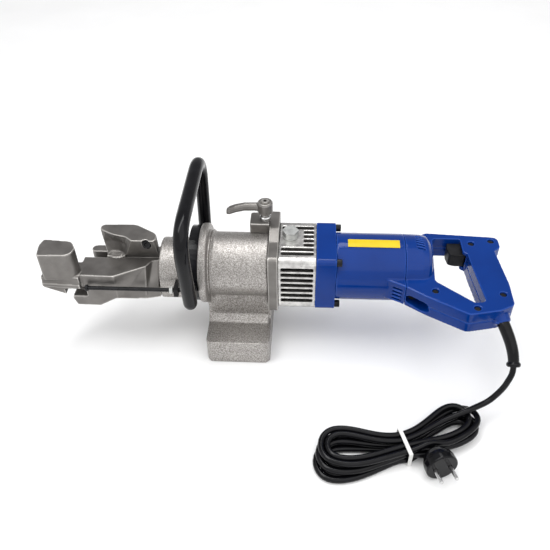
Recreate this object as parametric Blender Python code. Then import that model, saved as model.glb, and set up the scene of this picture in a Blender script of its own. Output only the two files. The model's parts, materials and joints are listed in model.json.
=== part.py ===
"""Portable electro-hydraulic bar bender with its lead, built as separate pieces.

Every length below is in millimetres; MM turns it into Blender's metres.
The origin is on the foot's resting face, straight below the machine axis. +X runs
along that axis towards the rear handle, +Z is up, and the ram pushes towards -X.
"""
import math

import bmesh
import bpy
from mathutils import Matrix, Vector

MM = 0.001
GAP = 0.3                  # air left between neighbouring pieces
CLEAN = 0.002              # distance under which two corners are one

# ---- driving dimensions -----------------------------------------------------
AXIS_Z = 115.0             # height of the machine axis above the floor
TABLE_Z = 127.0            # top of the bending table
TOOL_TOP_Z = 166.0         # top of the fixed post and of the moving die
ROD_RADIUS = 9.0
BORE_RADIUS = 25.0
NECK_X = -99.5             # front face of the cylinder casting
NECK_MIDDLE_Z = 110.5
NECK_RISE = 37.5
FLANGE_X = (-45.2, -34.0)
DRUM_X = (-30.0, 46.0)
DRUM_RADIUS = 43.4
FOOT_X = (-38.0, 50.0)      # the foot block's length
FOOT_HALF_WIDTH = 80.0
FOOT_HEIGHT = 39.0
PLATE_X = (46.3, 60.0)
PUMP_X = (60.3, 109.7)
COLLAR_X = (110.0, 136.0)
MOTOR_X = (136.3, 226.0)
SHELL_X = 226.3            # where the two handle shells begin
BLOCK_HALF = 43.0          # half side of the pump block and of the collar
BOLT_OFFSET = 36.5         # corner bolts from the axis, both ways
MOTOR_RADIUS = 45.5
GRIP_HALF = 16.0           # half thickness of the rear handle
SHAFT_Z = 95.0             # height of the pump shaft
PLUNGER_X = 88.0
LEVER_AXIS = (40.5, 29.0)
ROD_STOP_AXIS = (-53.0, 111.5)
LOOP_X = -52.0             # plane of the front loop handle
LOOP_TUBE = 9.2
CORD_RADIUS = 3.8

ORIGIN = Vector((0.0, 0.0, 0.0))


# ---- materials --------------------------------------------------------------
def material(name, colour, roughness, metallic):
    made = bpy.data.materials.new(name)
    made.use_nodes = True
    shader = made.node_tree.nodes["Principled BSDF"]
    shader.inputs["Base Color"].default_value = (*colour, 1.0)
    shader.inputs["Roughness"].default_value = roughness
    shader.inputs["Metallic"].default_value = metallic
    return made


# ---- outlines ---------------------------------------------------------------
def rounded(corners, steps=4):
    """Outline through (a, b, radius) corners, each rounded by an arc."""
    outline = []
    count = len(corners)
    for index, (a, b, radius) in enumerate(corners):
        corner = Vector((a, b))
        before = Vector(corners[index - 1][:2]) - corner
        after = Vector(corners[(index + 1) % count][:2]) - corner
        if radius <= 0.0:
            outline.append((a, b))
            continue
        before.normalize()
        after.normalize()
        half = before.angle(after) / 2.0
        reach = radius / math.tan(half)
        centre = corner + (before + after).normalized() * (radius / math.sin(half))
        start = corner + before * reach - centre
        end = corner + after * reach - centre
        turn = start.angle_signed(end)
        for step in range(steps + 1):
            spoke = start.copy()
            spoke.rotate(Matrix.Rotation(-turn * step / steps, 2))
            outline.append(tuple(centre + spoke))
    return outline


def rounded_rectangle(low, high, radius, steps=4):
    return rounded([(low[0], low[1], radius), (high[0], low[1], radius),
                    (high[0], high[1], radius), (low[0], high[1], radius)], steps)


def circle(radius, steps, centre=(0.0, 0.0), phase=0.0):
    return [(centre[0] + radius * math.cos(math.tau * i / steps + phase),
             centre[1] + radius * math.sin(math.tau * i / steps + phase)) for i in range(steps)]


def smooth_curve(points, per_span, closed=False):
    """Points of the curve that runs smoothly through the given points."""
    vectors = [Vector(point) for point in points]
    count = len(vectors)
    spans = count if closed else count - 1
    path = []
    for span in range(spans):
        if closed:
            p0, p1, p2, p3 = (vectors[(span + k) % count] for k in (-1, 0, 1, 2))
        else:
            p0 = vectors[max(span - 1, 0)]
            p1, p2 = vectors[span], vectors[span + 1]
            p3 = vectors[min(span + 2, count - 1)]
        for step in range(per_span):
            t = step / per_span
            path.append(0.5 * (2.0 * p1 + (p2 - p0) * t + (2.0 * p0 - 5.0 * p1 + 4.0 * p2 - p3) * t ** 2
                               + (3.0 * p1 - p0 - 3.0 * p2 + p3) * t ** 3))
    if not closed:
        path.append(vectors[-1])
    return path


# ---- solids, as bmesh in millimetres ------------------------------------------
def place(axis, along, a, b):
    """Point at `along` the axis, with the other two coordinates in X, Y, Z order."""
    return {"X": (along, a, b), "Y": (a, along, b), "Z": (a, b, along)}[axis]


def loft(rings):
    """Closed solid through rings of equal length, with flat ends."""
    bm = bmesh.new()
    loops = [[bm.verts.new(point) for point in ring] for ring in rings]
    count = len(loops[0])
    for lower, upper in zip(loops, loops[1:]):
        for i in range(count):
            j = (i + 1) % count
            bm.faces.new((lower[i], lower[j], upper[j], upper[i]))
    bm.faces.new(loops[0])
    bm.faces.new(loops[-1])
    bmesh.ops.recalc_face_normals(bm, faces=bm.faces)
    bmesh.ops.connect_verts_nonplanar(bm, angle_limit=math.radians(0.5), faces=bm.faces)
    return bm


def prism(outline, axis, low, high):
    return loft([[place(axis, along, a, b) for a, b in outline] for along in (low, high)])


def box(low, high):
    return prism([(low[0], low[1]), (high[0], low[1]), (high[0], high[1]), (low[0], high[1])],
                 "Z", low[2], high[2])


def turned(profile, axis, centre, steps=32, ring=False):
    """Solid turned from (along, radius) points; `ring` closes the profile on itself."""
    bm = bmesh.new()
    loops = []
    for along, radius in profile:
        if radius < CLEAN:
            loops.append([bm.verts.new(place(axis, along, *centre))] * steps)
        else:
            loops.append([bm.verts.new(place(axis, along, a, b))
                          for a, b in circle(radius, steps, centre)])
    pairs = list(zip(loops, loops[1:]))
    if ring:
        pairs.append((loops[-1], loops[0]))
    for lower, upper in pairs:
        for i in range(steps):
            j = (i + 1) % steps
            corners = []
            for vert in (lower[i], lower[j], upper[j], upper[i]):
                if vert not in corners:
                    corners.append(vert)
            if len(corners) > 2:
                bm.faces.new(corners)
    bmesh.ops.recalc_face_normals(bm, faces=bm.faces)
    return bm


def rod(radius, axis, centre, low, high, steps=24):
    return turned([(low, 0.0), (low, radius), (high, radius), (high, 0.0)], axis, centre, steps)


def tube(outer, inner, axis, centre, low, high, steps=32):
    return turned([(low, inner), (low, outer), (high, outer), (high, inner)],
                  axis, centre, steps, ring=True)


def sweep(path, radius, steps):
    """Round bar along a flat path that lies in a plane of constant X."""
    rings = []
    for index, point in enumerate(path):
        ahead = path[min(index + 1, len(path) - 1)] - path[max(index - 1, 0)]
        side = Vector((1.0, 0.0, 0.0))
        up = ahead.normalized().cross(side)
        rings.append([point + side * a + up * b for a, b in circle(radius, steps)])
    return loft(rings)


def moved(bm, matrix):
    bmesh.ops.transform(bm, matrix=matrix, verts=bm.verts)
    return bm


def aim(start, end):
    """Matrix that lays the Z axis from start towards end."""
    direction = (Vector(end) - Vector(start)).normalized()
    return Matrix.Translation(start) @ direction.to_track_quat("Z", "Y").to_matrix().to_4x4()


# ---- joining and cutting --------------------------------------------------------
def stand_in(bm):
    mesh = bpy.data.meshes.new("working")
    bm.to_mesh(mesh)
    bm.free()
    made = bpy.data.objects.new("working", mesh)
    bpy.context.collection.objects.link(made)
    return made


def combine(base, others, operation):
    """Boolean of one solid with each of the others in turn."""
    for other in others:
        target = stand_in(base)
        tool = stand_in(other)
        modifier = target.modifiers.new("combine", "BOOLEAN")
        modifier.operation = operation
        modifier.solver = "EXACT"
        modifier.object = tool
        bpy.context.view_layer.update()
        graph = bpy.context.evaluated_depsgraph_get()
        result = bpy.data.meshes.new_from_object(target.evaluated_get(graph))
        base = bmesh.new()
        base.from_mesh(result)
        bmesh.ops.remove_doubles(base, verts=base.verts, dist=CLEAN)
        bpy.data.objects.remove(target)
        bpy.data.objects.remove(tool)
        bpy.data.meshes.remove(result)
    return base


def join(base, *others):
    return combine(base, others, "UNION")


def cut(base, *others):
    return combine(base, others, "DIFFERENCE")


def keep(base, *others):
    return combine(base, others, "INTERSECT")


def flatten(bm, angle=0.4):
    """Merges faces that lie in one plane."""
    bmesh.ops.dissolve_limit(bm, angle_limit=math.radians(angle), verts=bm.verts, edges=bm.edges)
    return bm


def node(name, bm, finish, pivot=ORIGIN):
    """Named object in metres, with its origin at the pivot."""
    pivot = Vector(pivot)
    moved(bm, Matrix.Scale(MM, 4) @ Matrix.Translation(-pivot))
    mesh = bpy.data.meshes.new(name)
    bm.to_mesh(mesh)
    bm.free()
    mesh.materials.append(finish)
    mesh.shade_smooth()
    mesh.set_sharp_from_angle(angle=math.radians(32))
    made = bpy.data.objects.new(name, mesh)
    made.location = pivot * MM
    bpy.context.collection.objects.link(made)
    return made


# ---- head: fixed yoke and moving die ----------------------------------------------
SLOT_Y = (-8.0, 11.2)      # slot between the table and the far rail
CHANNEL_X = -150.0         # behind this the slot narrows above and widens below
CHANNEL_Y = -9.7           # near side of the wide, lower part
LIP_Y = -3.0               # far edge of the table, which overhangs the lower part
LIP_Z = 124.0
FLOOR_Z = 102.8            # floor of the slot and the channel
YOKE_END_X = -103.0        # upper end of the yoke, which leaves a dark gap at the neck
ROOT_X = -98.0             # where the outlines run on to, before the ends are cut
SPINE_Z = 86.5
RAIL_TOP_Z = 121.0


def make_yoke(steel):
    lower = [(-206, -47), (-158, -47), (-119, -46), (ROOT_X, -41), (ROOT_X, LIP_Y), (-206, LIP_Y)]
    upper = [(-206, -45.5), (-158, -46.5), (-119, -25), (-112, -13), (ROOT_X, -10), (-206, LIP_Y)]
    table = loft([[(x, y, SPINE_Z) for x, y in lower], [(x, y, TABLE_Z) for x, y in upper]])
    rail_outline = rounded([(-203.5, 11.2, 6.5), (ROOT_X, 11.2, 0), (ROOT_X, 25.0, 0),
                            (-203.5, 25.0, 6.5)], 5)
    rail = prism(rail_outline, "Z", SPINE_Z, RAIL_TOP_Z)
    web = box((-199, -9, SPINE_Z + 0.5), (ROOT_X - 1, 24, FLOOR_Z))
    tip = prism([(-254, 127), (-254.5, 109), (-219, 94), (-204, 90), (-204, 127)], "Y", -51, -19)
    post_outline = rounded([(-249.5, -19, 3), (-211.5, -22.5, 8), (-203.5, -36, 6),
                            (-206.5, -51, 12), (-250, -52.5, 3), (-253, -32, 8)], 5)
    post = prism(post_outline, "Z", TABLE_Z - 4, TOOL_TOP_Z)
    boss = prism([(-219, 90), (-220.6, 85.6), (-216.4, 73), (-184.3, 72.5), (-159.4, 87),
                  (-159, 100), (-202, 100), (-202, 90)], "Y", -46.8, -12)
    rib = prism([(-254, 118), (-254.3, 112), (-204, 109), (-204, 115.5)], "Y", -53.2, -45)
    notch = box((-226, -60, 90), (-199.5, -34, 107))
    slot = box((-215, SLOT_Y[0], FLOOR_Z), (CHANNEL_X, SLOT_Y[1], TABLE_Z + 8))
    channel = box((CHANNEL_X - 1, CHANNEL_Y, FLOOR_Z), (-80, SLOT_Y[1], LIP_Z))
    upper_end = box((YOKE_END_X, -60, 97), (-80, 60, TABLE_Z + 9))
    lower_end = box((NECK_X - GAP, -61, 60), (-81, 61, TABLE_Z + 10))
    body = join(table, rail, web, tip, post, boss, rib)
    return node("yoke_frame", flatten(cut(body, notch, slot, channel, upper_end, lower_end)), steel)


# The die's outline at its top, at mid height, above its lip and on the table: the
# hollow that takes the bar, then the ridge, the near flank and the back.
DIE_TOP = [(-180.7, 5.9), (-173.9, 0.7), (-166.2, -3.5), (-159.0, -6.8), (-151.9, -8.7), (-145.9, -9.8),
           (-141.5, -11.9), (-133.6, -18.7), (-104.5, -18.7), (-101.5, -14.4), (-102.5, -5.0),
           (-106.2, -0.3), (-119.6, 8.0), (-130.9, 15.0), (-137.8, 16.8), (-176.1, 15.4), (-180.1, 12.7)]
DIE_MIDDLE = [(-178.0, 1.6), (-171.5, 3.0), (-164.5, 3.2), (-157.5, 1.8), (-151.5, -1.0),
              (-147.0, -5.0), (-143.8, -9.4), (-141.0, -12.4), (-104.1, -11.8), (-102.5, -8.0),
              (-103.0, -1.0), (-106.1, 3.5), (-119.3, 9.4), (-130.5, 14.5), (-137.4, 16.0),
              (-174.2, 13.8), (-177.7, 9.6)]
DIE_LOW = [(-175.6, -2.3), (-170.0, 1.2), (-163.6, 1.6), (-158.0, 0.6), (-153.6, -1.4), (-151.2, -3.8),
           (-149.6, -5.8), (-148.2, -6.8), (-103.7, -5.4), (-103.5, -1.0), (-103.5, 3.4),
           (-106.0, 7.4), (-119.0, 10.8), (-130.1, 14.1), (-137.1, 15.1), (-172.5, 12.4), (-175.6, 6.8)]
DIE_BASE = [(-174.9, -3.4), (-171.7, -7.7), (-165.9, -12.3), (-161.6, -12.7), (-157.7, -11.7),
            (-155.2, -9.8), (-153.1, -7.6), (-150.0, -5.0), (-103.6, -3.8), (-103.6, 0.0),
            (-103.6, 4.0), (-106.0, 8.0), (-119.0, 11.0), (-130.0, 14.0), (-137.0, 15.0),
            (-172.0, 12.0), (-175.0, 6.0)]
DIE_BACK_X = -103.6
SCREW_MOUTH = (-115.0, -18.5, 160.5)   # the set screw's hole slopes into the top near edge
SCREW_WAY = (0.0, 0.7, -0.7)


def make_die(steel, black):
    floor = TABLE_Z + GAP
    sections = ((DIE_BASE, floor), (DIE_LOW, 132.0), (DIE_MIDDLE, 148.0), (DIE_TOP, TOOL_TOP_Z))
    hook = loft([[(x, y, z) for x, y in outline] for outline, z in sections])
    clear = 0.4
    low_y, high_y = SLOT_Y[0] + clear, SLOT_Y[1] - clear
    key = box((-175, low_y, FLOOR_Z + GAP), (CHANNEL_X - clear, high_y, floor + 2))
    stem = box((CHANNEL_X - 1, low_y, FLOOR_Z + GAP), (DIE_BACK_X, high_y - 0.1, LIP_Z - clear))
    neck = box((CHANNEL_X - 1, LIP_Y + clear, LIP_Z - 4), (DIE_BACK_X - 0.1, high_y - 0.2, floor + 1.8))
    socket = rod(5.9, "X", (0.0, AXIS_Z), -116, -100)
    lay = aim(SCREW_MOUTH, Vector(SCREW_MOUTH) + Vector(SCREW_WAY))
    pocket = moved(rod(5.6, "Z", (0.0, 0.0), -12, 12.3), lay)
    node("bending_die", flatten(cut(join(hook, key, stem, neck), socket, pocket)), steel)
    screw = moved(rod(5.3, "Z", (0.0, 0.0), 3.4, 12), lay)
    hexagon = moved(prism(circle(3.1, 6), "Z", -4, 8), lay)
    node("die_set_screw", cut(screw, hexagon), black)


def make_stop(black, zinc):
    y, z = ROD_STOP_AXIS
    bar = rod(2.7, "X", (y, z), -192, -60, 16)
    node("stop_rod", bar, black)
    knob = turned([(-196.5, 0), (-196.5, 3.6), (-195, 4.4), (-193.6, 4.4), (-192.3, 3.8), (-192.3, 0)],
                  "X", (y, z), 20)
    node("stop_knob", knob, black)
    nut = cut(prism(circle(5.2, 6, (y, z)), "X", -83, -78.6), rod(3.0, "X", (y, z), -90, -70, 16))
    node("stop_nut", nut, zinc)
    lug = join(box((-77, y - 6, z - 7), (-71, -43, z + 6)), box((-77, -46, z - 7), (-71, -39.3, z + 6)))
    node("stop_lug", cut(lug, rod(3.0, "X", (y, z), -90, -60, 16)), black)


# ---- cylinder, ram and foot ---------------------------------------------------------
def make_cylinder(cast):
    axis = (0.0, AXIS_Z)
    shell = turned([(-60, 0), (-60, 43.6), (FLANGE_X[0], 43.6), (FLANGE_X[0], 53.2),
                    (FLANGE_X[0] + 1.5, 54.7), (FLANGE_X[1] - 1.5, 54.7), (FLANGE_X[1], 53.2),
                    (FLANGE_X[1], 44.5), (DRUM_X[0], 44.5), (DRUM_X[0], 47.5), (DRUM_X[0] + 3, DRUM_RADIUS),
                    (DRUM_X[1], DRUM_RADIUS), (DRUM_X[1], 0)], "X", axis, 48)
    half_neck = 39.0
    arch = [(half_neck * math.sin(t), NECK_MIDDLE_Z + NECK_RISE * math.cos(t))
            for t in (math.radians(90 - 180 * i / 18) for i in range(19))]
    neck_outline = [(-30, 79), (30, 79), (36.5, 82), (39, 90)] + arch + [(-39, 90), (-36.5, 82)]
    neck = prism(neck_outline, "X", NECK_X, -58.0 - GAP)
    front, back = FOOT_X
    foot = prism(rounded_rectangle((front, -FOOT_HALF_WIDTH), (back, FOOT_HALF_WIDTH), 8.5), "Z",
                 0, FOOT_HEIGHT)
    half_stand = [(40, FOOT_HEIGHT - 3), (40, FOOT_HEIGHT), (31, FOOT_HEIGHT + 9), (31, 88), (20, 105)]
    stand = prism(half_stand + [(-y, z) for y, z in reversed(half_stand)], "X", front, DRUM_X[1])
    heel = prism([(31, FOOT_HEIGHT - 3), (31, 62), (-31, 62), (-31, FOOT_HEIGHT - 3)], "X", 40, back)
    body = join(shell, neck, stand, heel, foot)
    bore = rod(BORE_RADIUS, "X", axis, -75, 60, 40)
    rod_bore = rod(ROD_RADIUS + 0.4, "X", axis, -120, -70, 32)
    wiper_seat = rod(17, "X", axis, -120, NECK_X + 5, 32)
    return node("cylinder_casting", flatten(cut(body, bore, rod_bore, wiper_seat)), cast)


def make_ram(bright, rubber):
    axis = (0.0, AXIS_Z)
    bar = turned([(-115, 0), (-115, 5.6), (-103.3, 5.6), (-103.3, ROD_RADIUS), (-8, ROD_RADIUS), (-8, 0)],
                 "X", axis, 32)
    node("piston_rod", bar, bright)
    piston = turned([(-7.7, 0), (-7.7, 24.6), (0, 24.6), (0, 21), (5, 21), (5, 24.6), (12, 24.6), (12, 0)],
                    "X", axis, 36)
    node("piston", piston, bright)
    node("piston_seal", tube(24.7, 21.2, "X", axis, 0.3, 4.7, 36), rubber)
    node("rod_wiper", tube(16.7, ROD_RADIUS + 0.3, "X", axis, NECK_X + 0.3, NECK_X + 4.7, 32), rubber)


# ---- front loop handle -----------------------------------------------------------
EAR_Z = (111.0, 120.0)
EAR_Y = 76.0                # the ears end inside the grip, in the core
LOOP_HALF = ((75.6, 106.5), (78.5, 128.0), (82.5, 155.0), (86.0, 182.0), (87.0, 200.0), (84.0, 215.0),
             (75.0, 226.0), (60.0, 231.0), (40.0, 232.0), (18.0, 232.0))


def loop_path():
    half = [(LOOP_X, y, z) for y, z in LOOP_HALF]
    whole = half + [(x, -y, z) for x, y, z in reversed(half)]
    return smooth_curve(whole, 2)


def make_loop(coated, rubber):
    axis = (0.0, AXIS_Z)
    ring = tube(52.0, 44.0, "X", axis, -58.0, -45.6, 48)
    ears = [box((-58.0, min(way * 43.0, way * EAR_Y), EAR_Z[0]),
                (-45.6, max(way * 43.0, way * EAR_Y), EAR_Z[1]))
            for way in (-1.0, 1.0)]
    pockets = [box((-58.6, min(way * 60.0, way * EAR_Y), EAR_Z[0] - 2.0 * GAP),
                   (-45.0, max(way * 60.0, way * EAR_Y), EAR_Z[1] + 2.0 * GAP)) for way in (-1.0, 1.0)]
    path = loop_path()
    inset = Vector((0.0, 0.0, 1.5))
    core_path = [path[0] + inset, *path[1:-1], path[-1] + inset]
    bore_path = [path[0] - inset * 4.0, *path, path[-1] - inset * 4.0]
    bored = rod(43.9, "X", axis, -70, -40, 48)
    core = sweep(core_path, 6.4, 10)
    node("handle_frame", flatten(join(cut(join(ring, *ears), bored), core)), coated)
    grip = cut(sweep(path, LOOP_TUBE, 14), sweep(bore_path, 6.8, 10), *pockets)
    node("handle_grip", grip, rubber)


# ---- valve block and release lever --------------------------------------------------
BLOCK_TOP_Z = 170.0
HUB_Z = (182.0, 199.0)


def make_valve(cast, bright, black):
    block_outline = rounded([(20, 17, 3), (DRUM_X[1], 17, 0), (DRUM_X[1], 44, 0), (20, 44, 3)])
    block = prism(block_outline, "Z", 118, BLOCK_TOP_Z)
    saddle = rod(DRUM_RADIUS + GAP, "X", (0.0, AXIS_Z), 0, 60, 48)
    well = rod(4.3, "Z", LEVER_AXIS, 152, BLOCK_TOP_Z + 5)
    node("valve_block", flatten(cut(block, saddle, well)), cast)
    stem = turned([(153, 0), (153, 4), (170.4, 4), (170.4, 7.6), (175, 7.6), (176, 6.4), (181.7, 6.4),
                   (181.7, 0)], "Z", LEVER_AXIS, 24)
    stem = cut(stem, rod(2.8, "Z", LEVER_AXIS, 160, 190, 16))
    pivot = (*LEVER_AXIS, HUB_Z[0])
    node("valve_stem", stem, bright, pivot)
    hub = turned([(HUB_Z[0], 0), (HUB_Z[0], 9.0), (HUB_Z[0] + 1.5, 10.4), (HUB_Z[1] - 2, 10.4),
                  (HUB_Z[1], 8.8), (HUB_Z[1], 0)], "Z", LEVER_AXIS, 24)
    axis_x, axis_y = LEVER_AXIS
    sections = ((axis_x - 2, 190.0, 6.0, 6.0), (axis_x - 14, 190.5, 5.6, 5.8), (axis_x - 28, 190.0, 5.4, 5.8),
                (axis_x - 40, 187.0, 6.0, 5.8), (axis_x - 48, 183.6, 6.2, 5.6), (axis_x - 52, 181.8, 4.2, 3.6))
    arm = loft([[(x, axis_y + wide * a, z + tall * b) for a, b in circle(1.0, 12)]
                for x, z, wide, tall in sections])
    through = rod(2.8, "Z", LEVER_AXIS, 170, 210, 16)
    seat = rod(5.2, "Z", LEVER_AXIS, HUB_Z[1] - 4, 210, 20)
    node("release_lever", flatten(cut(join(hub, arm), through, seat)), cast, pivot)
    screw = turned([(162, 0), (162, 2.5), (HUB_Z[1] - 3.7, 2.5), (HUB_Z[1] - 3.7, 4.9),
                    (HUB_Z[1] + 1.5, 4.9), (HUB_Z[1] + 1.5, 0)], "Z", LEVER_AXIS, 20)
    key = prism(circle(2.4, 6, LEVER_AXIS), "Z", HUB_Z[1] - 1.5, HUB_Z[1] + 4)
    node("lever_screw", cut(screw, key), black, pivot)


# ---- plate, pump block and filler ---------------------------------------------------
def corner_centres():
    return [(y, AXIS_Z + z) for y, z in ((-BOLT_OFFSET, -BOLT_OFFSET), (BOLT_OFFSET, -BOLT_OFFSET),
                                         (BOLT_OFFSET, BOLT_OFFSET), (-BOLT_OFFSET, BOLT_OFFSET))]


def make_plate(steel):
    outline = rounded([(-44, 67, 5), (54, 67, 5), (54, 166.5, 4), (14, 166.5, 9), (-6, 158.6, 9),
                       (-44, 158.6, 8)])
    plate = prism(outline, "X", *PLATE_X)
    return node("adapter_plate", flatten(cut(plate, rod(20, "X", (0, AXIS_Z), 40, 70, 32))), steel)


FILLER = (75.0, 8.0)
FIN_PITCH = 9.0
FIN_SLOT = 6.0
FIN_DEPTH = 8.0


def make_pump(cast, zinc, copper):
    side = BLOCK_HALF
    low, high = PUMP_X
    block = prism(rounded_rectangle((-side, AXIS_Z - side), (side, AXIS_Z + side), 8), "X", low, high)
    start, stop = low + 3.5, high - 3.5
    slots = []
    for turn in range(4):
        for index in range(-3, 4):
            centre = index * FIN_PITCH
            on_pad = turn == 0 and -1 <= index <= 2
            first = start + 29.0 if on_pad else start
            slot = box((first, centre - FIN_SLOT / 2, side - FIN_DEPTH), (stop, centre + FIN_SLOT / 2, side + 4))
            spin = Matrix.Rotation(math.radians(90 * turn), 4, "X")
            slots.append(moved(slot, Matrix.Translation((0, 0, AXIS_Z)) @ spin))
    slots.append(rod(31.5, "X", (0, AXIS_Z), low + 6, high + 5, 40))
    slots.append(rod(6.4, "Z", FILLER, 140, 170, 24))
    slots.append(rod(4.9, "Y", (PLUNGER_X, SHAFT_Z), -26, 26, 16))
    slots += [rod(3.3, "X", centre, 96, 120, 16) for centre in corner_centres()]
    node("pump_block", flatten(cut(block, *slots)), cast)
    top = AXIS_Z + side
    plug = join(turned([(top - 10, 0), (top - 10, 6), (top + 4, 6), (top + 4, 0)], "Z", FILLER, 20),
                prism(circle(10.9, 6, FILLER), "Z", top + 2.6, top + 10.5))
    node("filler_plug", plug, zinc)
    node("filler_washer", tube(10.4, 6.5, "Z", FILLER, top + GAP, top + 2.3, 28), copper)


def gear(teeth, root, tip, centre, low, high):
    outline = []
    for tooth in range(teeth):
        for radius, share in ((root, -0.30), (tip, -0.13), (tip, 0.13), (root, 0.30)):
            angle = math.tau * (tooth + share) / teeth
            outline.append((centre[0] + radius * math.cos(angle), centre[1] + radius * math.sin(angle)))
    return prism(outline, "X", low, high)


SHAFT_AXIS = (0.0, SHAFT_Z)


def make_pump_drive(bright):
    pivot = (100.0, 0.0, SHAFT_Z)
    shaft = turned([(70, 0), (70, 5), (128, 5), (128, 0)], "X", SHAFT_AXIS, 20)
    eccentric = rod(8.5, "X", (0.0, SHAFT_Z + 2.0), 82, 94, 24)
    node("pump_shaft", join(shaft, eccentric), bright, pivot)
    wheel = cut(gear(26, 12.4, 14.2, SHAFT_AXIS, 116, 125), rod(5.3, "X", SHAFT_AXIS, 110, 130, 20))
    node("driven_gear", wheel, bright, pivot)
    for name, way in (("plunger_near", -1.0), ("plunger_far", 1.0)):
        node(name, rod(4.5, "Y", (PLUNGER_X, SHAFT_Z), min(11.5 * way, 24 * way),
                       max(11.5 * way, 24 * way), 16),
             bright)


# ---- gear collar and motor -------------------------------------------------------------
def make_collar(blue, black):
    axis = (0.0, AXIS_Z)
    outline = rounded_rectangle((-BLOCK_HALF, AXIS_Z - BLOCK_HALF), (BLOCK_HALF, AXIS_Z + BLOCK_HALF), 6)
    collar = prism(outline, "X", *COLLAR_X)
    holes = [rod(3.3, "X", centre, 100, 150, 16) for centre in corner_centres()]
    node("gear_collar", flatten(cut(collar, rod(36, "X", axis, 100, 150, 40), *holes)), blue)
    for index, centre in enumerate(corner_centres()):
        bolt = turned([(98, 0), (98, 3), (COLLAR_X[1] + GAP, 3), (COLLAR_X[1] + GAP, 5),
                       (142.6, 5), (143.2, 4.4), (143.2, 0)], "X", centre, 16)
        socket = prism(circle(2.5, 6, centre), "X", 140, 150)
        node(f"collar_bolt_{index + 1}", cut(bolt, socket), black)


WEDGE = [(200, -30), (200, -42.5), (206, -45.8), (226, -56.5), (226, -30)]


def make_motor(blue, yellow):
    axis = (0.0, AXIS_Z)
    body = rod(MOTOR_RADIUS, "X", axis, *MOTOR_X, 56)
    flank = prism(WEDGE, "Z", AXIS_Z - GRIP_HALF, AXIS_Z + GRIP_HALF)
    body = join(body, flank)
    bore = rod(38, "X", axis, 130, 240, 40)
    vents = [box((210, -60, z), (222.5, -36, z + 3)) for z in (101.5, 107.5, 113.5, 119.5)]
    node("motor_housing", flatten(cut(body, bore, *vents)), blue)
    inner, outer = MOTOR_RADIUS + GAP, MOTOR_RADIUS + 0.9
    angles = [math.radians(106.0 - 16.5 * i / 5) for i in range(6)]
    arc = [(outer * math.cos(t), AXIS_Z + outer * math.sin(t)) for t in angles]
    arc += [(inner * math.cos(t), AXIS_Z + inner * math.sin(t)) for t in reversed(angles)]
    node("label_plate", prism(arc, "X", 151.0, 218.5), yellow)


def make_armature(iron, copper, bright, black):
    axis = (0.0, AXIS_Z)
    pivot = (180.0, 0.0, AXIS_Z)
    node("stator", tube(37.6, 25, "X", axis, 158, 204, 36), iron)
    rotor = turned([(112, 0), (112, 4), (158, 4), (160, 23.5), (202, 23.5), (204, 4), (214, 4), (214, 13),
                    (232, 13), (232, 4), (250, 4), (250, 0)], "X", axis, 28)
    node("armature", rotor, copper, pivot)
    fan = cut(join(turned([(141, 0), (141, 33), (143, 33), (143, 9), (150, 9), (150, 0)], "X", axis, 32),
                   *[moved(box((142.5, -1, 8), (150, 1, 31)),
                           Matrix.Translation((0, 0, AXIS_Z)) @ Matrix.Rotation(math.tau * k / 8, 4, "X"))
                     for k in range(8)]),
              rod(4.3, "X", axis, 130, 160, 20))
    node("cooling_fan", fan, black, pivot)
    pinion = cut(gear(10, 4.95, 5.6, axis, 116, 125), rod(4.3, "X", axis, 110, 130, 16))
    node("pinion", pinion, bright, pivot)
    node("front_bearing", tube(15, 4.3, "X", axis, 129, 137.5, 28), bright)
    node("rear_bearing", tube(13, 4.3, "X", axis, 240, 248, 28), bright)
    node("bearing_bridge", cut(prism(circle(35.6, 40, axis), "X", 127.0, 131.5),
                               rod(15.3, "X", axis, 120, 140, 28),
                               rod(8.0, "X", SHAFT_AXIS, 120, 140, 24)), iron)


# ---- rear handle ------------------------------------------------------------------------
GLAND = (342.0, -90.0, 113.0)
RELIEF_END = (355.7, -136.5, 79.0)
SHELL_SCREWS = ((322.8, 34.5), (262.0, -62.0), (309.8, -91.0), (346.5, -65.0), (350.5, 40.5))
BRUSH_X = 223.0
RECESS = (241.0, 110.5)


def handle_body():
    """Solid rear handle, before it is parted into two shells."""
    low, high = AXIS_Z - GRIP_HALF, AXIS_Z + GRIP_HALF
    plan = rounded([(SHELL_X, -56.6, 0), (250, -73.8, 30), (299, -103, 9), (337, -94.5, 8), (357, -84, 9),
                    (358, -45, 40), (352, 20, 4), (361, 28, 5), (361.5, 49, 8), (263, 55.5, 8),
                    (246, 45, 8), (SHELL_X, 44, 0)], 4)
    slab = prism(plan, "Z", low, high)
    rings = []
    for x, share in ((SHELL_X, 1.0), (248.0, 0.985), (256.0, 0.94), (261.0, 0.82), (264.0, 0.62)):
        rings.append([(x, a * share, AXIS_Z + b * share) for a, b in circle(MOTOR_RADIUS, 48)])
    dome = loft(rings)
    boss = turned([(0, 0), (0, 11), (9, 11), (11, 9), (11, 0)], "Z", (0.0, 0.0), 24)
    moved(boss, aim(GLAND, RELIEF_END) @ Matrix.Translation((0, 0, -4.0)))
    return join(slab, dome, boss)


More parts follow.
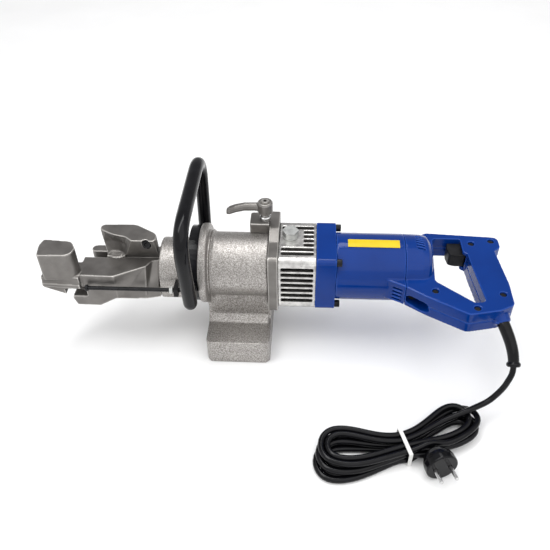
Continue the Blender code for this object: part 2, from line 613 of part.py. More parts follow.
def make_handle(blue, black, screw_black):
    body = handle_body()
    gap_outline = rounded([(271, 43.5, 5), (264, -43, 8), (308, -81, 5), (323, -80, 6), (316, -12, 8),
                           (314.5, 12, 3), (309, 16, 3), (309, 43.5, 3)], 4)
    opening = prism(gap_outline, "Z", 60, 170)
    motor_room = rod(37.5, "X", (0.0, AXIS_Z), 200, 238, 40)
    bearing_seat = rod(13.3, "X", (0.0, AXIS_Z), 230, 252, 28)
    switch_room = box((300, 13.5, 104), (345, 42.0, 126))
    lead = rod(5.9, "Z", (0.0, 0.0), -14, 30, 20)
    lead = moved(join(lead, rod(8.2, "Z", (0.0, 0.0), 7.1, 30, 24)), aim(GLAND, RELIEF_END))
    recess = prism(rounded([(RECESS[0] - 14, RECESS[1] - 5, 4), (RECESS[0] + 5, RECESS[1] - 8, 5),
                            (RECESS[0] + 15, RECESS[1] - 5, 4), (RECESS[0] + 11, RECESS[1] + 8, 5),
                            (RECESS[0] - 13, RECESS[1] + 8, 5)], 4), "Y", -100, -47.5)
    cap_hole = rod(6.4, "Y", (RECESS[0] - 4, RECESS[1]), -60, -30, 20)
    far_hole = rod(6.4, "Y", (RECESS[0] - 4, RECESS[1]), 30, 70, 20)
    vents = [moved(box((-6, -1, 0), (6, 1, 20)), Matrix.Translation((246, 12.0 - 4.6 * k, 153.5))
                   @ Matrix.Rotation(math.radians(-12), 4, "Z")) for k in range(6)]
    screws = []
    for x, y in SHELL_SCREWS:
        top = AXIS_Z + GRIP_HALF
        screws += [rod(4.4, "Z", (x, y), top - 6, top + 30, 18), rod(2.0, "Z", (x, y), 103, top, 12)]
    hollow = cut(body, opening, motor_room, bearing_seat, switch_room, lead, recess, cap_hole, far_hole,
                 *vents, *screws)
    half = GAP / 2
    for name, low, high in (("handle_shell_upper", AXIS_Z + half, 200.0),
                            ("handle_shell_lower", 40.0, AXIS_Z - half)):
        node(name, flatten(keep(hollow.copy(), box((200, -140, low), (400, 90, high)))), blue)
    hollow.free()
    for index, (x, y) in enumerate(SHELL_SCREWS):
        top = AXIS_Z + GRIP_HALF
        screw = turned([(104, 0), (104, 1.6), (top - 5.7, 1.6), (top - 5.7, 4.1), (top - 2.6, 4.1),
                        (top - 1.8, 3.2), (top - 1.8, 0)], "Z", (x, y), 16)
        node(f"shell_screw_{index + 1}", screw, screw_black)
    for name, low, high in (("brush_cap_near", -52.0, -40.5), ("brush_cap_far", 40.5, 49.0)):
        node(name, rod(6.0, "Y", (RECESS[0] - 4, RECESS[1]), low, high, 20), black)
    for name, way in (("carbon_brush_near", -1), ("carbon_brush_far", 1)):
        inner, outer = sorted((way * 13.5, way * 30.0))
        node(name, box((BRUSH_X - 4, inner, AXIS_Z - 3), (BRUSH_X + 4, outer, AXIS_Z + 3)), black)


def make_trigger(black):
    outline = rounded([(292, 17.5, 5), (300, 15, 4), (313, 15, 0), (313, 41, 0), (291, 41, 2), (290, 30, 6)], 4)
    paddle = prism(outline, "Z", 105.2, 124.8)
    node("trigger", paddle, black)
    node("switch_block", box((326, 15, 105), (343.5, 40, 125)), black)


# ---- lead ------------------------------------------------------------------------------
CORD_ROUTE = ((355.2, -138.1, 77.0), (354.8, -141.1, 73.2), (353.3, -144.5, 67.4), (350.6, -146.9, 60.4),
              (347.9, -148.8, 52.7), (344.4, -149.9, 44.8), (340.4, -151.1, 38.0), (335.8, -153.0, 32.6),
              (330.2, -155.6, 28.8), (324.4, -158.4, 27.4))
HANK_OUTLINE = ((109.8, -229.0), (114.0, -208.0), (127.0, -196.0), (146.0, -192.0), (166.0, -192.5),
                (192.0, -197.0), (219.0, -198.0), (246.0, -186.5), (270.0, -168.0), (285.0, -157.0),
                (302.0, -153.0), (316.0, -159.0), (321.8, -172.0), (320.8, -187.0), (313.0, -200.0),
                (298.0, -209.0), (276.0, -213.0), (261.0, -215.5), (246.0, -221.5), (232.0, -230.5), (220.0, -233.6),
                (198.0, -242.0), (168.0, -258.0), (144.0, -264.5), (124.0, -259.0), (113.0, -246.0))
HANK_TOP = 23.2
TIE = ((216.4, -197.4), (226.9, -233.2))
PLUG_BACK = (256.0, -226.5, 18.7)
PLUG_FACE = (262.4, -248.4, 20.9)


def make_relief(rubber):
    length = (Vector(RELIEF_END) - Vector(GLAND)).length
    profile = [(-9, 0), (-9, 5.5), (7.4, 5.5), (7.4, 7.6), (length - 8, 6.6), (length - 7, 8.2),
               (length - 2, 8.6), (length, 7.2), (length, 0)]
    relief = turned(profile, "Z", (0.0, 0.0), 24)
    node("strain_relief", moved(relief, aim(GLAND, RELIEF_END)), rubber)


def make_cord(rubber):
    points = smooth_curve(CORD_ROUTE, 2)
    curve = bpy.data.curves.new("cord_run", "CURVE")
    curve.dimensions = "3D"
    curve.bevel_depth = CORD_RADIUS * MM
    curve.bevel_resolution = 2
    curve.render_resolution_u = 0
    curve.use_fill_caps = True
    spline = curve.splines.new("POLY")
    spline.points.add(len(points) - 1)
    for slot, point in zip(spline.points, points):
        slot.co = (*(point * MM), 1.0)
    made = bpy.data.objects.new("cord_run", curve)
    curve.materials.append(rubber)
    bpy.context.collection.objects.link(made)


def make_hank(rubber, white):
    outline = [(p.x, p.y) for p in smooth_curve([(x, y, 0.0) for x, y in HANK_OUTLINE], 3, closed=True)]
    node("cord_hank", prism(outline, "Z", 0.0, HANK_TOP), rubber)
    start, end = Vector((*TIE[0], 0)), Vector((*TIE[1], 0))
    along = (end - start).normalized()
    wide = Vector((-along.y, along.x, 0)) * 2.4
    height = HANK_TOP + GAP
    inner = [(start, 0.0), (start, height), (end, height), (end, 0.0)]
    outer = [(start - along * 1.3, 0.0), (start - along * 1.3, height + 1.3),
             (end + along * 1.3, height + 1.3), (end + along * 1.3, 0.0)]
    section = inner + list(reversed(outer))
    rings = [[p + wide * way + Vector((0, 0, z)) for p, z in section] for way in (-1, 1)]
    node("cord_tie", loft(rings), white)


def make_plug(rubber, bright):
    back, face = Vector(PLUG_BACK), Vector(PLUG_FACE)
    length = (face - back).length
    lay = aim(back, face)
    profile = [(0, 0), (0, 12), (3, 15.5), (9, 18.6), (14, 19.8), (length - 1, 19.8), (length, 19.0), (length, 0)]
    body = moved(turned(profile, "Z", (0.0, 0.0), 32), lay)
    holes = [moved(rod(2.6, "Z", (side * 9.5, 0.0), length - 8, length + 3, 14), lay) for side in (-1, 1)]
    node("plug_body", cut(body, *holes), rubber)
    for index, side in enumerate((-1, 1)):
        pin = turned([(length - 7.6, 0), (length - 7.6, 2.3), (length + 18, 2.3), (length + 19, 1.4),
                      (length + 19, 0)], "Z", (side * 9.5, 0.0), 14)
        node(f"plug_pin_{index + 1}", moved(pin, lay), bright)


def main():
    for old in list(bpy.data.objects):
        bpy.data.objects.remove(old)
    steel = material("forged_steel", (0.21, 0.20, 0.19), 0.42, 0.9)
    cast = material("speckled_casting", (0.42, 0.40, 0.38), 0.5, 0.7)
    alloy = material("pump_alloy", (0.55, 0.54, 0.53), 0.38, 0.85)
    bright = material("ground_steel", (0.6, 0.6, 0.6), 0.25, 1.0)
    zinc = material("zinc_plate", (0.62, 0.63, 0.62), 0.35, 0.8)
    copper = material("copper", (0.55, 0.27, 0.14), 0.4, 0.9)
    iron = material("laminated_iron", (0.2, 0.2, 0.2), 0.6, 0.6)
    blue = material("blue_plastic", (0.006, 0.036, 0.21), 0.28, 0.0)
    yellow = material("yellow_label", (0.85, 0.72, 0.02), 0.5, 0.0)
    black = material("black_plastic", (0.012, 0.012, 0.013), 0.45, 0.0)
    oxide = material("black_oxide", (0.02, 0.02, 0.022), 0.4, 0.7)
    coated = material("black_coating", (0.01, 0.01, 0.012), 0.25, 0.2)
    rubber = material("black_rubber", (0.012, 0.012, 0.014), 0.35, 0.0)
    white = material("white_nylon", (0.75, 0.75, 0.73), 0.45, 0.0)
    make_yoke(steel)
    make_die(steel, oxide)
    make_stop(oxide, zinc)
    make_cylinder(cast)
    make_ram(bright, rubber)
    make_loop(coated, rubber)
    make_valve(cast, bright, oxide)
    make_plate(steel)
    make_pump(alloy, zinc, copper)
    make_pump_drive(bright)
    make_collar(blue, oxide)
    make_motor(blue, yellow)
    make_armature(iron, copper, bright, black)
    make_handle(blue, black, oxide)
    make_trigger(black)
    make_relief(rubber)
    make_cord(rubber)
    make_hank(rubber, white)
    make_plug(rubber, bright)


main()
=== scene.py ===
import json
import math

import bpy
import numpy as np
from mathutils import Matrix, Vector


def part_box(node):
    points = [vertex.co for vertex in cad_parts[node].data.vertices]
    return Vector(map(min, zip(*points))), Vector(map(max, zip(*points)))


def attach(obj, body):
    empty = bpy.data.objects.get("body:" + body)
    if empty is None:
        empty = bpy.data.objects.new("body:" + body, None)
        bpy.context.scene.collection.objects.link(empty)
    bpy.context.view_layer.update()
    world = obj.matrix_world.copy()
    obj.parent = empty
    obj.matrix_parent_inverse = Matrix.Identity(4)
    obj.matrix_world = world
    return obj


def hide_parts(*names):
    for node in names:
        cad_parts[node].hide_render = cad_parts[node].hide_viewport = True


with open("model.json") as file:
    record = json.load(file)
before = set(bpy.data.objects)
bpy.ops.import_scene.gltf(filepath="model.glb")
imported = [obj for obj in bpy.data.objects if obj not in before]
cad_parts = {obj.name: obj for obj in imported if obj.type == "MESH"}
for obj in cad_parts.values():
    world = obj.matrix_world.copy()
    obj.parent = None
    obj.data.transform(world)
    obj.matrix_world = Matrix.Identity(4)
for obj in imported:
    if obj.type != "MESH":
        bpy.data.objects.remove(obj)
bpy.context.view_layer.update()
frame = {"nodes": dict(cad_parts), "record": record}
NODES = frame["nodes"]
BODY_OF = {node: body for body, nodes in frame["record"]["behaviour"]["bodies"].items() for node in nodes}
SLOT_OF = {part["node"]: part["material_slot"] for part in frame["record"]["subparts"]}
MM = 0.001
AXIS_Z = 115.0                          # height of the machine's axis (mm)
GROOVE_FLOOR, GROOVE_TOP = 36.5, 41.5   # half sides of the pump block between which painted shade darkens its grooves

CAMERA_PLACE = (0.0948, -0.6687, 0.7042)
CAMERA_TURN = (0.8325, 0.0122, 0.0500)
SENSOR_WIDTH, LENS = 36.0, 42.545
FLOOR_HALF = 6.0
TENT_STRENGTH = 1.05
TENT_BRIGHT = (0.05, (1.0, 1.0, 1.0))   # share of the way to the back, and colour
TENT_DIM = (0.6, (0.4, 0.4, 0.41))
# Each light: place, target, size and power.
LIGHTS = {
    "key": ((-0.2, 0.15, 1.5), (0.05, -0.05, 0.0), (1.8, 0.3), 11.0),
    "fill": ((0.5, -0.6, 1.5), (0.05, 0.0, 0.1), (2.0, 2.0), 9.0),
}


# ---- camera, floor and light -------------------------------------------------------
def make_camera():
    data = bpy.data.cameras.new("camera")
    data.sensor_width = SENSOR_WIDTH
    data.lens = LENS
    camera = bpy.data.objects.new("camera", data)
    camera.location = CAMERA_PLACE
    camera.rotation_euler = CAMERA_TURN
    bpy.context.scene.collection.objects.link(camera)
    bpy.context.scene.camera = camera


def make_stage():
    mesh = bpy.data.meshes.new("floor")
    corners = [(x * FLOOR_HALF, y * FLOOR_HALF, 0) for x, y in ((-1, -1), (1, -1), (1, 1), (-1, 1))]
    mesh.from_pydata(corners, [], [(0, 1, 2, 3)])
    floor = bpy.data.objects.new("floor", mesh)
    bpy.context.scene.collection.objects.link(floor)
    made = Finish("floor", (0.93, 0.93, 0.93), 0.6, 0.0)
    made.mottle((0.915, 0.915, 0.915), (0.94, 0.94, 0.94), scale=6.0)
    mesh.materials.append(made.material)


def make_light(name, place, target, size, power):
    data = bpy.data.lights.new(name, "AREA")
    data.shape = "RECTANGLE"
    data.size, data.size_y = size
    data.energy = power
    light = bpy.data.objects.new(name, data)
    light.location = place
    light.rotation_euler = (Vector(target) - Vector(place)).to_track_quat("-Z", "Y").to_euler()
    bpy.context.scene.collection.objects.link(light)


def make_world():
    """A light tent, bright on the viewer's side and dim at the back."""
    world = bpy.data.worlds.new("studio")
    world.use_nodes = True
    tree = world.node_tree
    background = tree.nodes["Background"]
    coordinate = tree.nodes.new("ShaderNodeTexCoord")
    split = tree.nodes.new("ShaderNodeSeparateXYZ")
    ramp = tree.nodes.new("ShaderNodeValToRGB")
    for element, (position, colour) in zip(ramp.color_ramp.elements, (TENT_BRIGHT, TENT_DIM)):
        element.position = position
        element.color = (*colour, 1.0)
    tree.links.new(coordinate.outputs["Generated"], split.inputs[0])
    tree.links.new(split.outputs["Y"], ramp.inputs["Fac"])
    tree.links.new(ramp.outputs["Color"], background.inputs["Color"])
    background.inputs["Strength"].default_value = TENT_STRENGTH
    bpy.context.scene.world = world


# ---- materials ---------------------------------------------------------------------
class Finish:
    """A procedural material, placed by each piece's own coordinates."""

    def __init__(self, name, colour, roughness, metallic, specular=0.5):
        self.material = bpy.data.materials.new(name)
        self.material.use_nodes = True
        self.tree = self.material.node_tree
        self.shader = self.tree.nodes["Principled BSDF"]
        self.shader.inputs["Base Color"].default_value = (*colour, 1.0)
        self.shader.inputs["Roughness"].default_value = roughness
        self.shader.inputs["Metallic"].default_value = metallic
        self.shader.inputs["Specular IOR Level"].default_value = specular
        self.place = self.tree.nodes.new("ShaderNodeTexCoord").outputs["Object"]
        self.normal = None

    def noise(self, scale, detail=3.0, rough=0.55, stretch=None):
        texture = self.tree.nodes.new("ShaderNodeTexNoise")
        texture.inputs["Scale"].default_value = scale
        texture.inputs["Detail"].default_value = detail
        texture.inputs["Roughness"].default_value = rough
        source = self.place
        if stretch:
            mapping = self.tree.nodes.new("ShaderNodeMapping")
            mapping.inputs["Scale"].default_value = stretch
            self.tree.links.new(source, mapping.inputs["Vector"])
            source = mapping.outputs["Vector"]
        self.tree.links.new(source, texture.inputs["Vector"])
        return texture.outputs["Fac"]

    def ramp(self, value, stops):
        ramp = self.tree.nodes.new("ShaderNodeValToRGB")
        while len(ramp.color_ramp.elements) < len(stops):
            ramp.color_ramp.elements.new(0.5)
        for element, (position, colour) in zip(ramp.color_ramp.elements, stops):
            element.position = position
            element.color = (*colour, 1.0)
        self.tree.links.new(value, ramp.inputs["Fac"])
        return ramp.outputs["Color"]

    def mix(self, factor, first, second, blend="MIX"):
        node = self.tree.nodes.new("ShaderNodeMix")
        node.data_type = "RGBA"
        node.blend_type = blend
        for socket, value in ((node.inputs[0], factor), (node.inputs[6], first), (node.inputs[7], second)):
            if isinstance(value, (int, float)):
                socket.default_value = value
            elif isinstance(value, tuple):
                socket.default_value = (*value, 1.0)
            else:
                self.tree.links.new(value, socket)
        return node.outputs[2]

    def colour(self, output):
        self.tree.links.new(output, self.shader.inputs["Base Color"])
        return self

    def mottle(self, dark, light, scale, detail=4.0, stretch=None):
        """Cloudy variation between two colours."""
        cloud = self.noise(scale, detail, stretch=stretch)
        return self.colour(self.ramp(cloud, [(0.36, dark), (0.66, light)]))

    def gloss(self, low, high, scale, detail=3.0, stretch=None):
        """Roughness that wanders between two values."""
        output = self.ramp(self.noise(scale, detail, stretch=stretch),
                           [(0.35, (low,) * 3), (0.65, (high,) * 3)])
        self.tree.links.new(output, self.shader.inputs["Roughness"])
        return self

    def bump(self, output, strength, distance):
        bump = self.tree.nodes.new("ShaderNodeBump")
        bump.inputs["Strength"].default_value = strength
        bump.inputs["Distance"].default_value = distance * MM
        self.tree.links.new(output, bump.inputs["Height"])
        if self.normal:
            self.tree.links.new(self.normal, bump.inputs["Normal"])
        self.normal = bump.outputs["Normal"]
        self.tree.links.new(self.normal, self.shader.inputs["Normal"])
        return self

    def beyond(self, inner, outer):
        """0 inside the inner square round the machine's axis, 1 outside the outer one."""
        split = self.tree.nodes.new("ShaderNodeSeparateXYZ")
        self.tree.links.new(self.place, split.inputs[0])
        reach = []
        for output, centre in ((split.outputs["Y"], 0.0), (split.outputs["Z"], AXIS_Z)):
            offset = self.tree.nodes.new("ShaderNodeMath")
            offset.operation = "SUBTRACT"
            offset.inputs[1].default_value = centre * MM
            self.tree.links.new(output, offset.inputs[0])
            size = self.tree.nodes.new("ShaderNodeMath")
            size.operation = "ABSOLUTE"
            self.tree.links.new(offset.outputs[0], size.inputs[0])
            reach.append(size.outputs[0])
        largest = self.tree.nodes.new("ShaderNodeMath")
        largest.operation = "MAXIMUM"
        self.tree.links.new(reach[0], largest.inputs[0])
        self.tree.links.new(reach[1], largest.inputs[1])
        span = self.tree.nodes.new("ShaderNodeMapRange")
        span.inputs["From Min"].default_value = inner * MM
        span.inputs["From Max"].default_value = outer * MM
        self.tree.links.new(largest.outputs[0], span.inputs["Value"])
        return span.outputs["Result"]

    def edges(self, base, edge_highlight, low, high):
        """The base colour, turning into a painted highlight colour as the surface gets more convex."""
        geometry = self.tree.nodes.new("ShaderNodeNewGeometry")
        mask = self.ramp(geometry.outputs["Pointiness"], [(low, (0.0,) * 3), (high, (1.0,) * 3)])
        return self.mix(mask, base, edge_highlight)


def make_finishes():
    made = {}

    def add(slot, colour, roughness, metallic, **more):
        made[slot] = Finish(slot, colour, roughness, metallic, **more)
        return made[slot]

    finish = add("forged_steel", (0.2, 0.18, 0.165), 0.42, 0.75)
    cloud = finish.ramp(finish.noise(38.0, 5.0), [(0.3, (0.138, 0.130, 0.122)), (0.7, (0.215, 0.204, 0.193))])
    # Painted highlight: the steel's sharp convex edges turn pale, standing in for bright edge glints.
    finish.colour(finish.edges(cloud, (0.62, 0.60, 0.57), 0.508, 0.56))
    finish.gloss(0.3, 0.46, 60.0).bump(finish.noise(420.0, 4.0), 0.2, 0.2)

    finish = add("speckled_casting", (0.36, 0.34, 0.32), 0.42, 0.8)
    grain = finish.noise(980.0, 2.0, 0.6)
    speckle = finish.ramp(grain, [(0.36, (0.185, 0.172, 0.16)), (0.50, (0.34, 0.32, 0.302)),
                                  (0.64, (0.62, 0.60, 0.58))])
    cloud = finish.ramp(finish.noise(30.0, 3.0), [(0.3, (0.88,) * 3), (0.7, (1.0,) * 3)])
    finish.colour(finish.mix(1.0, speckle, cloud, "MULTIPLY"))
    finish.gloss(0.36, 0.5, 200.0).bump(grain, 0.5, 0.35)

    finish = add("pump_alloy", (0.52, 0.51, 0.50), 0.3, 0.9)
    cloud = finish.ramp(finish.noise(120.0, 4.0), [(0.36, (0.44, 0.43, 0.42)), (0.66, (0.68, 0.67, 0.65))])
    # Painted shade: the floors of the pump block's grooves, inside the inner square, are near black.
    finish.colour(finish.mix(finish.beyond(GROOVE_FLOOR, GROOVE_TOP), (0.03, 0.029, 0.028), cloud))
    finish.gloss(0.2, 0.38, 90.0, stretch=(0.2, 1.0, 1.0))
    finish.bump(finish.noise(300.0, 4.0, stretch=(0.15, 1.0, 1.0)), 0.3, 0.3)

    finish = add("ground_steel", (0.6, 0.6, 0.6), 0.2, 1.0)
    finish.mottle((0.52, 0.52, 0.52), (0.64, 0.64, 0.64), 80.0)
    finish.gloss(0.14, 0.26, 300.0).bump(finish.noise(900.0, 2.0), 0.08, 0.05)

    finish = add("zinc_plate", (0.62, 0.63, 0.62), 0.34, 0.85)
    finish.mottle((0.50, 0.51, 0.50), (0.68, 0.69, 0.67), 140.0)
    finish.gloss(0.28, 0.42, 200.0).bump(finish.noise(700.0, 3.0), 0.15, 0.1)

    finish = add("copper", (0.55, 0.27, 0.14), 0.36, 0.9)
    finish.mottle((0.42, 0.19, 0.09), (0.62, 0.32, 0.17), 160.0)
    finish.gloss(0.3, 0.45, 240.0).bump(finish.noise(800.0, 2.0), 0.1, 0.1)

    finish = add("laminated_iron", (0.2, 0.2, 0.2), 0.5, 0.7)
    finish.mottle((0.12, 0.12, 0.12), (0.24, 0.24, 0.24), 400.0, stretch=(6.0, 0.1, 0.1))
    finish.gloss(0.42, 0.6, 200.0).bump(finish.noise(900.0, 2.0, stretch=(4.0, 0.1, 0.1)), 0.3, 0.2)

    finish = add("blue_plastic", (0.002, 0.03, 0.24), 0.14, 0.0, specular=0.22)
    cloud = finish.ramp(finish.noise(14.0, 3.0),
                        [(0.3, (0.0005, 0.024, 0.165)), (0.7, (0.0008, 0.032, 0.21))])
    # Painted highlight: the plastic's convex edges turn a lighter blue.
    finish.colour(finish.edges(cloud, (0.02, 0.085, 0.40), 0.512, 0.57))
    finish.gloss(0.08, 0.18, 26.0).bump(finish.noise(160.0, 2.0), 0.05, 0.1)

    finish = add("yellow_label", (0.64, 0.47, 0.006), 0.42, 0.0, specular=0.3)
    finish.mottle((0.60, 0.43, 0.004), (0.68, 0.50, 0.008), 60.0)
    finish.gloss(0.36, 0.5, 120.0).bump(finish.noise(500.0, 2.0), 0.05, 0.05)

    for slot, colour, low, high, metallic in (
            ("black_plastic", (0.008, 0.008, 0.009), 0.3, 0.45, 0.0),
            ("black_oxide", (0.014, 0.014, 0.015), 0.24, 0.36, 0.4),
            ("black_coating", (0.006, 0.006, 0.007), 0.14, 0.24, 0.0),
            ("black_rubber", (0.003, 0.003, 0.004), 0.1, 0.19, 0.0)):
        finish = add(slot, colour, high, metallic, specular=0.2)
        finish.mottle(tuple(c * 0.75 for c in colour), tuple(c * 1.5 for c in colour), 90.0)
        finish.gloss(low, high, 70.0).bump(finish.noise(650.0, 3.0), 0.08, 0.08)

    finish = add("white_nylon", (0.75, 0.75, 0.73), 0.4, 0.0)
    finish.mottle((0.70, 0.70, 0.68), (0.80, 0.80, 0.78), 120.0)
    finish.gloss(0.32, 0.5, 200.0).bump(finish.noise(500.0, 2.0), 0.1, 0.1)
    return made


# ---- pieces ------------------------------------------------------------------------
def add_piece(name, mesh, node):
    """New piece that stands for a CAD node, on its body and in its finish."""
    piece = bpy.data.objects.new(name, mesh)
    bpy.context.scene.collection.objects.link(piece)
    slot = SLOT_OF[node]
    mesh.materials.clear()
    mesh.materials.append(FINISHES[slot].material)
    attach(piece, BODY_OF[node])
    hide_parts(node)
    return piece


def baked(piece):
    """The piece's mesh with its modifiers applied."""
    bpy.context.view_layer.update()
    graph = bpy.context.evaluated_depsgraph_get()
    mesh = bpy.data.meshes.new_from_object(piece.evaluated_get(graph))
    bpy.data.objects.remove(piece)
    return mesh


def softened(node, voxel, passes):
    """Replaces a CAD node by a fine mesh of the same shape with rounded edges."""
    working = bpy.data.objects.new("working", NODES[node].data.copy())
    bpy.context.scene.collection.objects.link(working)
    remesh = working.modifiers.new("voxels", "REMESH")
    remesh.mode = "VOXEL"
    remesh.voxel_size = voxel * MM
    remesh.use_smooth_shade = True
    smooth = working.modifiers.new("soften", "SMOOTH")
    smooth.factor = 0.5
    smooth.iterations = passes
    mesh = baked(working)
    mesh.shade_smooth()
    return add_piece(node + "_surface", mesh, node)


# Each softened node's voxel size (mm) and smoothing passes.
SOFTENED = {
    "yoke_frame": (1.0, 5), "bending_die": (0.8, 4), "cylinder_casting": (1.3, 6), "valve_block": (0.8, 4),
    "release_lever": (0.6, 5), "pump_block": (0.8, 3), "adapter_plate": (0.9, 3), "gear_collar": (1.0, 4),
    "motor_housing": (1.1, 6), "handle_shell_upper": (0.8, 5), "handle_shell_lower": (0.9, 6),
    "plug_body": (0.7, 4), "trigger": (0.8, 4),
}
CHAMFER = 0.35 * MM
WELD_REACH = 0.01 * MM


def dress(node):
    """Keeps a CAD node, in its finish, with a fine chamfer on its sharp edges."""
    piece = NODES[node]
    for index in range(len(piece.material_slots)):
        piece.material_slots[index].material = FINISHES[SLOT_OF[node]].material
    weld = piece.modifiers.new("weld", "WELD")
    weld.merge_threshold = WELD_REACH
    bevel = piece.modifiers.new("chamfer", "BEVEL")
    bevel.width = CHAMFER
    bevel.segments = 2
    bevel.limit_method = "ANGLE"
    bevel.angle_limit = math.radians(40)
    bevel.harden_normals = True


# ---- lead ------------------------------------------------------------------------------
CORD_RADIUS = 3.8
CORD_ROUTE = ((355.2, -138.1, 77.0), (354.8, -141.1, 73.2), (353.3, -144.5, 67.4), (350.6, -146.9, 60.4),
              (347.9, -148.8, 52.7), (344.4, -149.9, 44.8), (340.4, -151.1, 38.0), (335.8, -153.0, 32.6),
              (330.2, -155.6, 28.8), (324.4, -158.4, 27.4))
OVER_FOLD = ((317.5, -162.0, 27.2), (309.5, -166.4, 27.2), (300.5, -170.6, 26.4), (290.5, -174.4, 24.2),
             (279.5, -178.4, 21.6), (268.0, -183.5, 19.8))
TO_PLUG = ((229.0, -228.6, 5.0), (237.0, -224.8, 8.0), (244.0, -219.8, 13.0), (250.6, -218.6, 17.4),
           (255.4, -222.4, 18.6), (257.0, -229.4, 19.2))
# The hank's three layers from the top: centres of the left and right folds, and height.
LAYERS = (((145.0, -221.5), (289.0, -178.5), 19.4), ((142.5, -228.0), (291.5, -181.5), 11.6),
          ((139.5, -235.0), (294.5, -184.0), 3.8))
WAIST = (221.5, -214.4)
PITCH = 8.1                # from one turn to the next in a layer
LEFT_FOLD, RIGHT_FOLD, WAIST_HALF = 17.0, 14.0, 4.05
STRAND_GAP = 0.15          # left between strands that lie against each other
LONGEST_PUSH = 1.5         # that a point moves in one settling round
NEIGHBOURS = 6             # points along the cord that don't count as another strand


def spine(layer, share):
    """Point, tangent and normal of a layer's middle line, from its left fold (0) to its right (1)."""
    left, right, _ = LAYERS[layer]
    weights = ((1 - share) * (1 - 2 * share), 4 * share * (1 - share), share * (2 * share - 1))
    slopes = (4 * share - 3, 4 - 8 * share, 4 * share - 1)
    corners = np.array((left, WAIST, right))
    point = np.dot(weights, corners)
    tangent = np.dot(slopes, corners)
    tangent = tangent / np.linalg.norm(tangent)
    return point, tangent, np.array((-tangent[1], tangent[0]))


def strand(layer, way, share, rank):
    """Centre of one strand on the far (way 1) or near (way -1) side of a layer."""
    point, _, normal = spine(layer, share)
    swing = abs(2.0 * share - 1.0)
    swing = swing * swing * (3.0 - 2.0 * swing)
    fold = LEFT_FOLD if share < 0.5 else RIGHT_FOLD
    half = WAIST_HALF + (fold - WAIST_HALF) * swing + rank * PITCH
    return (*(point + normal * way * half), LAYERS[layer][2])


SHARES = (0.93, 0.8, 0.65, 0.5, 0.35, 0.2, 0.07)   # where a strand's points lie, from right to left
FOLD_STEPS = 6


def turn(layer, rank, next_rank, next_layer, bulge):
    """One turn: far side, left fold, near side and right fold."""
    points = [strand(layer, 1, share, rank) for share in SHARES]
    centre, tangent, normal = spine(layer, 0.0)
    height = LAYERS[layer][2]
    radius = LEFT_FOLD + rank * PITCH
    for step in range(1, FOLD_STEPS):
        angle = math.pi * step / FOLD_STEPS
        points.append((*(centre + radius * (math.cos(angle) * normal - math.sin(angle) * tangent)), height))
    points += [strand(layer, -1, share, rank) for share in reversed(SHARES)]
    here, tangent, normal = spine(layer, 1.0)
    there = spine(next_layer, 1.0)[0]
    for step in range(1, FOLD_STEPS):
        angle = math.pi * step / FOLD_STEPS
        ease = (step / FOLD_STEPS) ** 2 * (3 - 2 * step / FOLD_STEPS)
        radius = RIGHT_FOLD + (rank + (next_rank - rank) * ease) * PITCH
        point = here + (there - here) * ease - radius * math.cos(angle) * normal
        point = point + (radius + bulge) * math.sin(angle) * tangent
        points.append((*point, height + (LAYERS[next_layer][2] - height) * ease))
    return points


def smooth_path(points, per_span):
    """Points of a smooth curve through the given points."""
    p = np.array(points, float)
    out = []
    for i in range(len(p) - 1):
        p0, p1, p2, p3 = p[max(i - 1, 0)], p[i], p[i + 1], p[min(i + 2, len(p) - 1)]
        for step in range(per_span):
            t = step / per_span
            out.append(0.5 * (2 * p1 + (p2 - p0) * t + (2 * p0 - 5 * p1 + 4 * p2 - p3) * t ** 2
                              + (3 * p1 - p0 - 3 * p2 + p3) * t ** 3))
    out.append(p[-1])
    return np.array(out)


def even(path, spacing):
    """The same path with points at an even spacing."""
    run = np.concatenate(([0.0], np.cumsum(np.linalg.norm(np.diff(path, axis=0), axis=1))))
    marks = np.linspace(0.0, run[-1], int(run[-1] / spacing) + 1)
    return np.stack([np.interp(marks, run, path[:, k]) for k in range(3)], axis=1)


def settle(path, fixed_start, fixed_end, rounds):
    """Eases tight bends and pushes strands that lie in each other apart."""
    path = path.copy()
    count = len(path)
    apart = 2.0 * CORD_RADIUS + STRAND_GAP
    index = np.arange(count)
    neighbour = np.abs(index[:, None] - index[None, :]) <= NEIGHBOURS
    free = (index >= fixed_start) & (index < count - fixed_end)
    for _ in range(rounds):
        eased = path.copy()
        for weight in (0.5, -0.52):      # the second step undoes the shrinking of the first
            middle = 0.5 * (eased[:-2] + eased[2:])
            eased[1:-1] += weight * (middle - eased[1:-1])
        away = path[:, None, :] - path[None, :, :]
        distance = np.linalg.norm(away, axis=2)
        distance[neighbour] = 1e9
        push = np.clip(apart - distance, 0.0, None)
        shift = (away / distance[:, :, None] * push[:, :, None] * 0.5).sum(axis=1)
        moved = eased + np.clip(shift, -LONGEST_PUSH, LONGEST_PUSH)
        moved[:, 2] = np.maximum(moved[:, 2], CORD_RADIUS)
        path[free] = moved[free]
    return path


# Each full turn: its layer, its rank, the next turn's rank and layer, and how far its right fold bulges.
TURNS = ((0, 0, 1, 0, 0.0), (0, 1, 1, 1, 7.0), (1, 1, 0, 1, 3.0), (1, 0, 0, 2, -2.0), (2, 0, 1, 2, 3.0))
LAST_TURN = (2, 1, 1, 2, 0.0)
STEP_ALONG = 5.0           # between the lead's points
HELD_AT_START, HELD_AT_END, SETTLING_ROUNDS = 24, 4, 50


def cord_path():
    """The lead's middle line, from the strain relief through the hank to the plug."""
    hank = [point for each in TURNS for point in turn(*each)][2:]
    to_near_waist = 2 * len(SHARES) + FOLD_STEPS - 1 - 3
    hank += turn(*LAST_TURN)[:to_near_waist]
    path = list(CORD_ROUTE) + list(OVER_FOLD) + hank + list(TO_PLUG)
    return settle(even(smooth_path(path, 8), STEP_ALONG), HELD_AT_START, HELD_AT_END, SETTLING_ROUNDS)


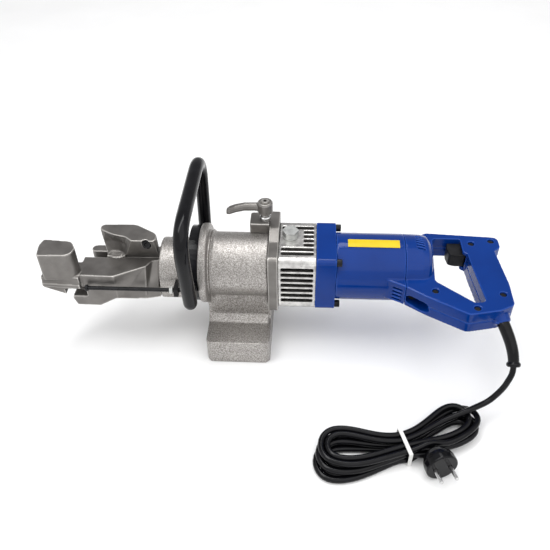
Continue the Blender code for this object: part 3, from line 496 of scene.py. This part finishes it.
def lofted(rings):
    """Mesh through rings of equal length."""
    count = len(rings[0])
    vertices = [tuple(point) for ring in rings for point in ring]
    faces = []
    for row in range(len(rings) - 1):
        for k in range(count):
            a = row * count + k
            b = row * count + (k + 1) % count
            faces.append((a, b, b + count, a + count))
    faces.append(tuple(reversed(range(count))))
    faces.append(tuple(range((len(rings) - 1) * count, len(rings) * count)))
    mesh = bpy.data.meshes.new("lofted")
    mesh.from_pydata(vertices, [], faces)
    mesh.shade_smooth()
    mesh.set_sharp_from_angle(angle=math.radians(40))
    return mesh


def pipe(path, radii, sides):
    """Mesh of a round bar of changing radius along a path, in metres."""
    path = np.array(path, float)
    side = np.array((1.0, 0.0, 0.0))
    rings = []
    for index, point in enumerate(path):
        ahead = path[min(index + 1, len(path) - 1)] - path[max(index - 1, 0)]
        ahead = ahead / np.linalg.norm(ahead)
        side = side - ahead * np.dot(side, ahead)
        side = side / np.linalg.norm(side)
        up = np.cross(ahead, side)
        rings.append([(point + radii[index] * (math.cos(a) * side + math.sin(a) * up)) * MM
                      for a in (math.tau * k / sides for k in range(sides))])
    return lofted(rings)


def make_lead():
    points = cord_path()
    curve = bpy.data.curves.new("lead", "CURVE")
    curve.dimensions = "3D"
    curve.bevel_depth = CORD_RADIUS * MM
    curve.bevel_resolution = 4
    curve.use_fill_caps = True
    spline = curve.splines.new("POLY")
    spline.points.add(len(points) - 1)
    for slot, point in zip(spline.points, points):
        slot.co = (*(Vector(point) * MM), 1.0)
    curve.materials.append(FINISHES["black_rubber"].material)
    lead = bpy.data.objects.new("lead", curve)
    bpy.context.scene.collection.objects.link(lead)
    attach(lead, "machine")
    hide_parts("cord_run", "cord_hank")
    return lead


RELIEF_BEND = ((342.0, -90.0, 113.0), (344.6, -99.0, 109.8), (347.8, -108.6, 105.0), (351.0, -117.6, 98.8),
               (353.6, -125.6, 91.4), (355.0, -132.0, 83.8), (355.2, -137.9, 77.2))
RELIEF_RADIUS, RELIEF_TAPER = 7.9, 1.3
COLLAR_RADII = (7.6, 8.4, 8.7, 8.7, 8.5, 7.6)   # every millimetre back from the sleeve's end


def make_relief():
    """A tapering sleeve with a collar at its free end."""
    path = even(smooth_path(RELIEF_BEND, 6), 1.0)
    count = len(path)
    radii = [RELIEF_RADIUS - RELIEF_TAPER * index / count for index in range(count)]
    for left, radius in enumerate(COLLAR_RADII):
        radii[count - 1 - left] = radius
    return add_piece("strain_relief_sleeve", pipe(path, radii, 32), "strain_relief")


# ---- front loop ---------------------------------------------------------------------------
LOOP_HALF = ((75.6, 106.5), (78.5, 128.0), (82.5, 155.0), (86.0, 182.0), (87.0, 200.0), (84.0, 215.0),
             (75.0, 226.0), (60.0, 231.0), (40.0, 232.0), (18.0, 232.0))
GRIP_RADIUS, GRIP_ROUNDING, GRIP_STEP = 9.2, 1.6, 3.0


def make_grip():
    """The rubber sleeve round the loop, with rounded ends."""
    low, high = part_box("handle_grip")
    middle = (low.x + high.x) / 2 / MM
    half = [(middle, y, z) for y, z in LOOP_HALF]
    path = even(smooth_path(half + [(x, -y, z) for x, y, z in reversed(half)], 8), GRIP_STEP)
    radii = []
    for index in range(len(path)):
        end = min(index, len(path) - 1 - index)
        radii.append(GRIP_RADIUS - GRIP_ROUNDING * max(0.0, 1.0 - end / 2.0) ** 2)
    return add_piece("loop_grip", pipe(path, radii, 40), "handle_grip")


FINISHES = make_finishes()
make_camera()
make_world()
make_stage()
for name, (place, target, size, power) in LIGHTS.items():
    make_light(name, place, target, size, power)
lead = make_lead()
make_relief()
make_grip()
REPLACED = {"cord_run", "cord_hank", "strain_relief", "handle_grip"}
for node, (voxel, passes) in SOFTENED.items():
    softened(node, voxel, passes)
for node in sorted(set(NODES) - REPLACED - set(SOFTENED)):
    dress(node)
bpy.context.scene.view_settings.view_transform = "Standard"
